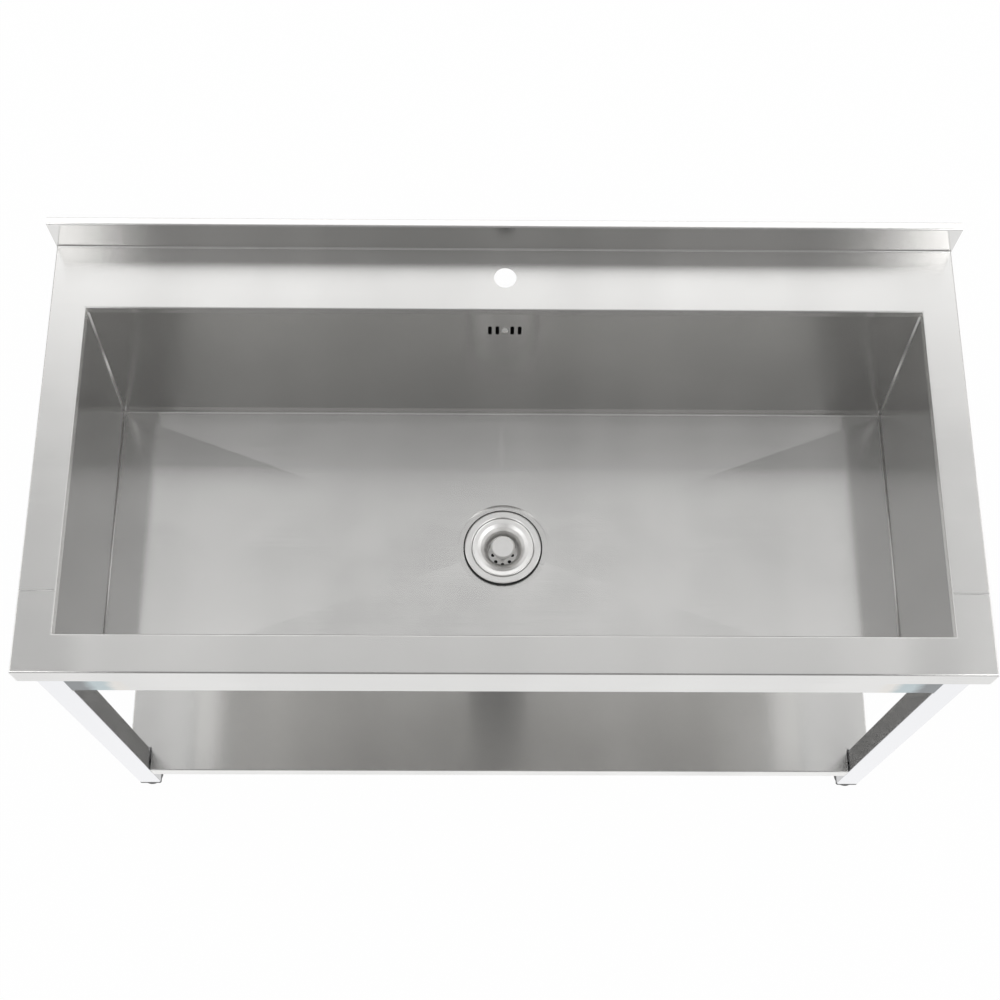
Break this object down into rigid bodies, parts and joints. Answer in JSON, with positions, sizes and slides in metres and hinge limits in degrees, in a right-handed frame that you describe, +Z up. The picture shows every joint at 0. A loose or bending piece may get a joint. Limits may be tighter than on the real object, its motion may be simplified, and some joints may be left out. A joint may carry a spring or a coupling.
{
  "type": "utility sink",
  "caption": "Free-standing stainless utility sink with a long rectangular bowl, low backsplash, basket strainer, overflow slots, tube legs, undershelf and levelling feet.",
  "frame": {"origin": "on the floor, under the middle of the deck", "axes": "+X to the user's right along the bowl, +Y from the user's side to the backsplash, +Z up"},
  "size_m": [1.2, 0.6, 0.8],
  "materials": {
    "sheet_steel": "fine brushed stainless sheet",
    "tube_steel": "satin stainless tube",
    "polished_steel": "polished",
    "plated_steel": "zinc plated",
    "black_plastic": "satin moulded",
    "black_rubber": "matt"
  },
  "bodies": {
    "sink": {"front_rim": "sheet_steel", "rim_left": "sheet_steel", "rim_right": "sheet_steel", "rear_ledge": "sheet_steel", "backsplash": "sheet_steel", "bowl_floor": "sheet_steel", "bowl_wall_front": "sheet_steel", "bowl_wall_rear": "sheet_steel", "bowl_wall_left": "sheet_steel", "bowl_wall_right": "sheet_steel", "overflow_housing": "black_plastic", "overflow_seal": "black_rubber", "overflow_screw": "polished_steel", "strainer_flange": "polished_steel", "strainer_gasket": "black_rubber", "drain_pot": "black_plastic", "drain_pot_seal": "black_rubber", "drain_screw": "polished_steel", "leg_front_left": "tube_steel", "leg_front_right": "tube_steel", "leg_rear_left": "tube_steel", "leg_rear_right": "tube_steel", "rail_front": "tube_steel", "rail_rear": "tube_steel", "rail_left": "tube_steel", "rail_right": "tube_steel", "undershelf": "sheet_steel", "shelf_flange_front": "sheet_steel", "shelf_flange_rear": "sheet_steel", "shelf_flange_left": "sheet_steel", "shelf_flange_right": "sheet_steel", "shelf_tabs": "sheet_steel", "shelf_channel": "sheet_steel", "leg_bracket_front_left": "sheet_steel", "leg_bracket_front_right": "sheet_steel", "leg_bracket_rear_left": "sheet_steel", "leg_bracket_rear_right": "sheet_steel", "foot_insert_front_left": "black_plastic", "foot_insert_front_right": "black_plastic", "foot_insert_rear_left": "black_plastic", "foot_insert_rear_right": "black_plastic", "foot_nuts": "plated_steel", "shelf_bolts": "plated_steel", "bracket_bolts": "plated_steel", "leg_nuts": "plated_steel", "deck_studs": "plated_steel", "deck_nuts": "plated_steel"},
    "basket": {"basket_cup": "polished_steel", "basket_knob": "polished_steel", "basket_seal": "black_rubber"},
    "foot_front_left": {"foot_pad_front_left": "black_plastic", "foot_stem_front_left": "plated_steel"},
    "foot_front_right": {"foot_pad_front_right": "black_plastic", "foot_stem_front_right": "plated_steel"},
    "foot_rear_left": {"foot_pad_rear_left": "black_plastic", "foot_stem_rear_left": "plated_steel"},
    "foot_rear_right": {"foot_pad_rear_right": "black_plastic", "foot_stem_rear_right": "plated_steel"}
  },
  "joints": [
    {"name": "basket_lift", "type": "slide", "parent": "sink", "child": "basket", "axis": [0, 0, 1], "range_m": [0, 0.3]},
    {"name": "foot_front_left_screw", "type": "slide", "parent": "sink", "child": "foot_front_left", "axis": [0, 0, -1], "range_m": [0, 0.02]},
    {"name": "foot_front_right_screw", "type": "slide", "parent": "sink", "child": "foot_front_right", "axis": [0, 0, -1], "range_m": [0, 0.02]},
    {"name": "foot_rear_left_screw", "type": "slide", "parent": "sink", "child": "foot_rear_left", "axis": [0, 0, -1], "range_m": [0, 0.02]},
    {"name": "foot_rear_right_screw", "type": "slide", "parent": "sink", "child": "foot_rear_right", "axis": [0, 0, -1], "range_m": [0, 0.02]}
  ]
}
